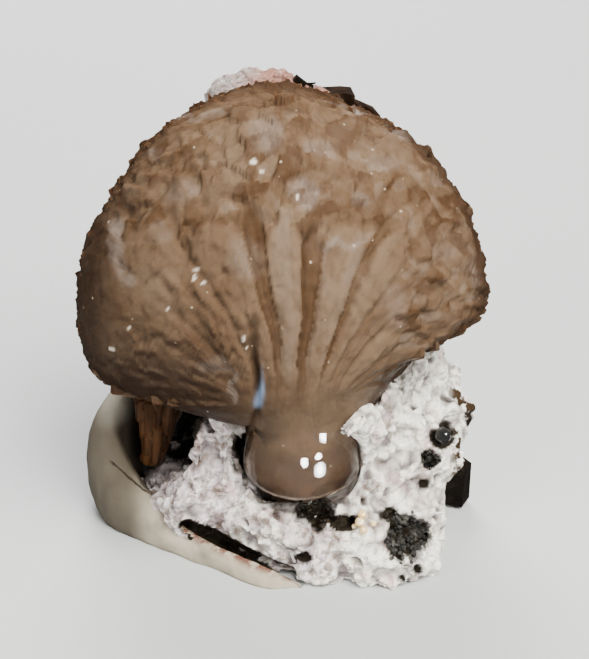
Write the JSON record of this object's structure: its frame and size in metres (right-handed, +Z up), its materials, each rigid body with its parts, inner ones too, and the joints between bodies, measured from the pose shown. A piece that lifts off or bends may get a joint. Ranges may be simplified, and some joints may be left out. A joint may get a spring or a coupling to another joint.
{
  "type": "mineral_specimen_poldervaartite",
  "caption": "Brown mushroom-shaped poldervaartite crystal sheaf on white sugary matrix with black crystals and a clear bead",
  "frame": {"origin": "the flat underside of the matrix, under the middle of the specimen", "axes": "+Z up out of the flat underside; -Y toward the front, where the stem and the clear bead show; +X to the right seen from the front"},
  "size_m": [0.0346, 0.027, 0.0389],
  "materials": {
    "poldervaartite": "glossy translucent brown crystal",
    "orange_poldervaartite": "glossy orange-brown crystal",
    "white_matrix": "sugary white with lilac and pink patches",
    "cream_rind": "smooth cream rind",
    "clear_drop": "clear, glossy",
    "pink_crust": "fine crystalline crust",
    "dark_brown_crystal": "glossy flat faces",
    "black_crystal": "submetallic black",
    "golden_drop": "tiny glossy golden-white beads"
  },
  "bodies": {
    "root": {"sheaf": "poldervaartite", "small_sheaf": "orange_poldervaartite", "matrix": "white_matrix", "rind": "cream_rind", "clear_bead": "clear_drop", "top_crust": "pink_crust", "top_block": "dark_brown_crystal", "top_spur": "black_crystal", "right_block": "dark_brown_crystal", "black_crystal_right": "black_crystal", "black_crystal_low": "black_crystal", "black_pocket": "black_crystal", "black_pit": "black_crystal", "hollow_crust": "black_crystal", "golden_beads": "golden_drop"}
  },
  "joints": []
}
